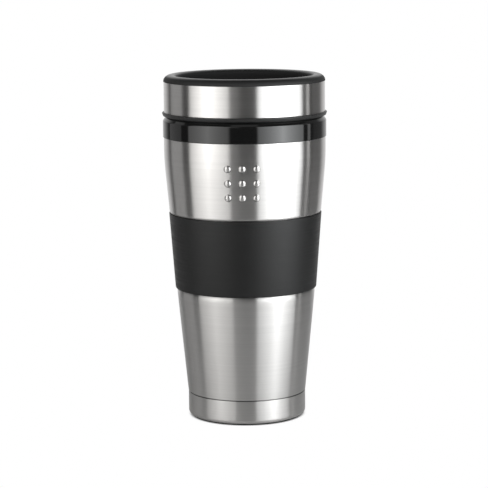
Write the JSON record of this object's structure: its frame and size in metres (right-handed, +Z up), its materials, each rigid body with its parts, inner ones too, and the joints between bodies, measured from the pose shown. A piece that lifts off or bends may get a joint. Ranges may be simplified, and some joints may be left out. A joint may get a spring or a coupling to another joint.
{
  "type": "insulated travel mug",
  "caption": "Tapered insulated travel mug with a brushed-steel shell, rubber grip band, plastic liner and a push-in lid with a sliding sip closure.",
  "frame": {"origin": "on the table, under the centre of the base", "axes": "+Z up along the mug's axis, -Y towards the front with the raised dots, +Y towards the sip hole"},
  "size_m": [0.0844, 0.0844, 0.177],
  "materials": {
    "brushed_steel": "fine brush lines around the axis",
    "grip_rubber": "matte, fine moulded grain",
    "gloss_black": "polished",
    "satin_black": "satin, fine moulded grain",
    "seal_rubber": "matte",
    "silicone": "translucent grey, smooth"
  },
  "bodies": {
    "mug": {"outer_shell": "brushed_steel", "grip_band": "grip_rubber", "inner_liner": "gloss_black", "liner_seal": "seal_rubber", "base_cap": "brushed_steel", "base_pad": "seal_rubber"},
    "lid": {"lid_top": "satin_black", "lid_band": "brushed_steel", "lid_plug": "satin_black", "lid_gasket": "silicone"},
    "slider": {"slider": "satin_black", "slider_seal": "silicone"}
  },
  "joints": [
    {"name": "lid_lift", "type": "slide", "parent": "mug", "child": "lid", "axis": [0, 0, 1], "range_m": [0, 0.1]},
    {"name": "slider_close", "type": "slide", "parent": "lid", "child": "slider", "axis": [0, 1, 0], "range_m": [0, 0.015]}
  ]
}
